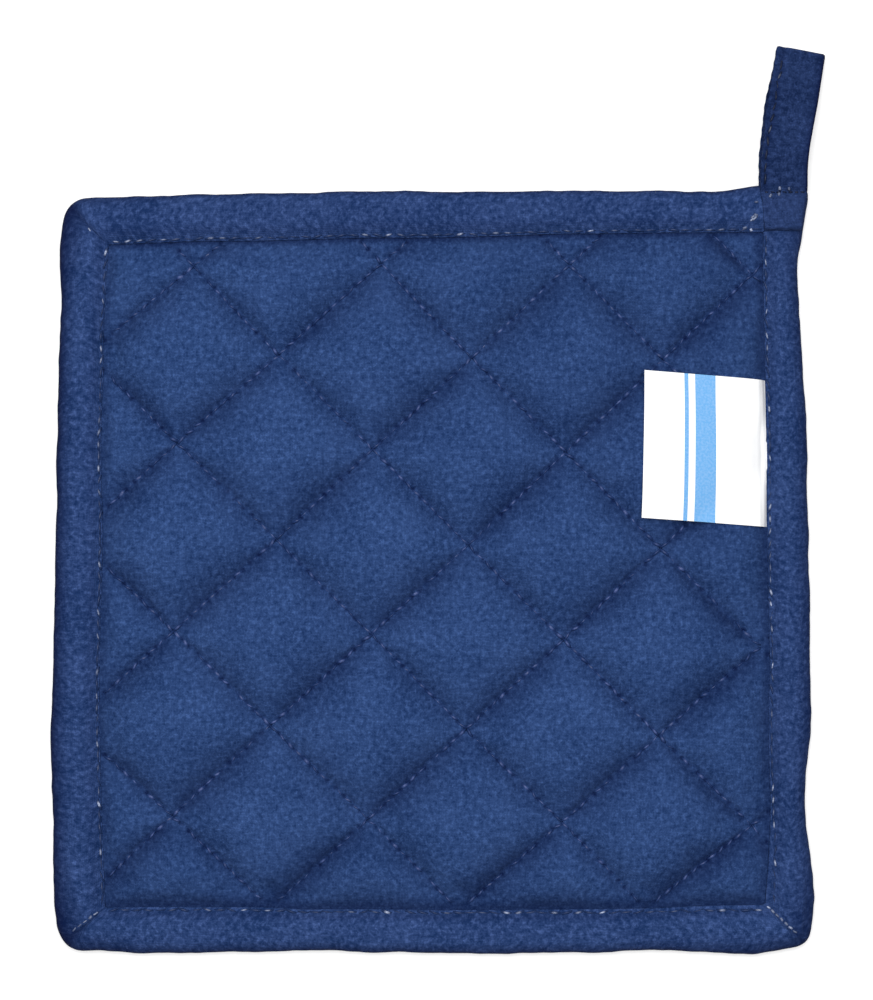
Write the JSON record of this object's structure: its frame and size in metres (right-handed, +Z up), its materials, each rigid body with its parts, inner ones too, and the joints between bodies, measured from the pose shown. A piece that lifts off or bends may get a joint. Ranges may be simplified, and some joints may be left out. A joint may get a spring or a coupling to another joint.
{
  "type": "quilted pot holder",
  "caption": "Square diamond-quilted cloth pot holder with a mitred bound edge, a folded corner hanging loop and a small sewn-in label, lying flat.",
  "frame": {"origin": "on the surface it rests on, under the middle of body and loop together", "axes": "+Z up, out of the front face; +Y along the face towards the hanging loop; +X along the face towards the edge with the label"},
  "size_m": [0.2062, 0.2412, 0.0093],
  "materials": {
    "pad_cloth": "matt navy blue woven cotton with a heathered yarn, quilted",
    "binding_cloth": "matt navy blue woven cotton strip, slightly heathered",
    "loop_cloth": "matt navy blue woven cotton tape, folded and stitched along one edge",
    "label_satin": "smooth white satin ribbon"
  },
  "bodies": {
    "root": {"pad": "pad_cloth", "binding": "binding_cloth", "hanging_loop": "loop_cloth", "label": "label_satin"}
  },
  "joints": []
}
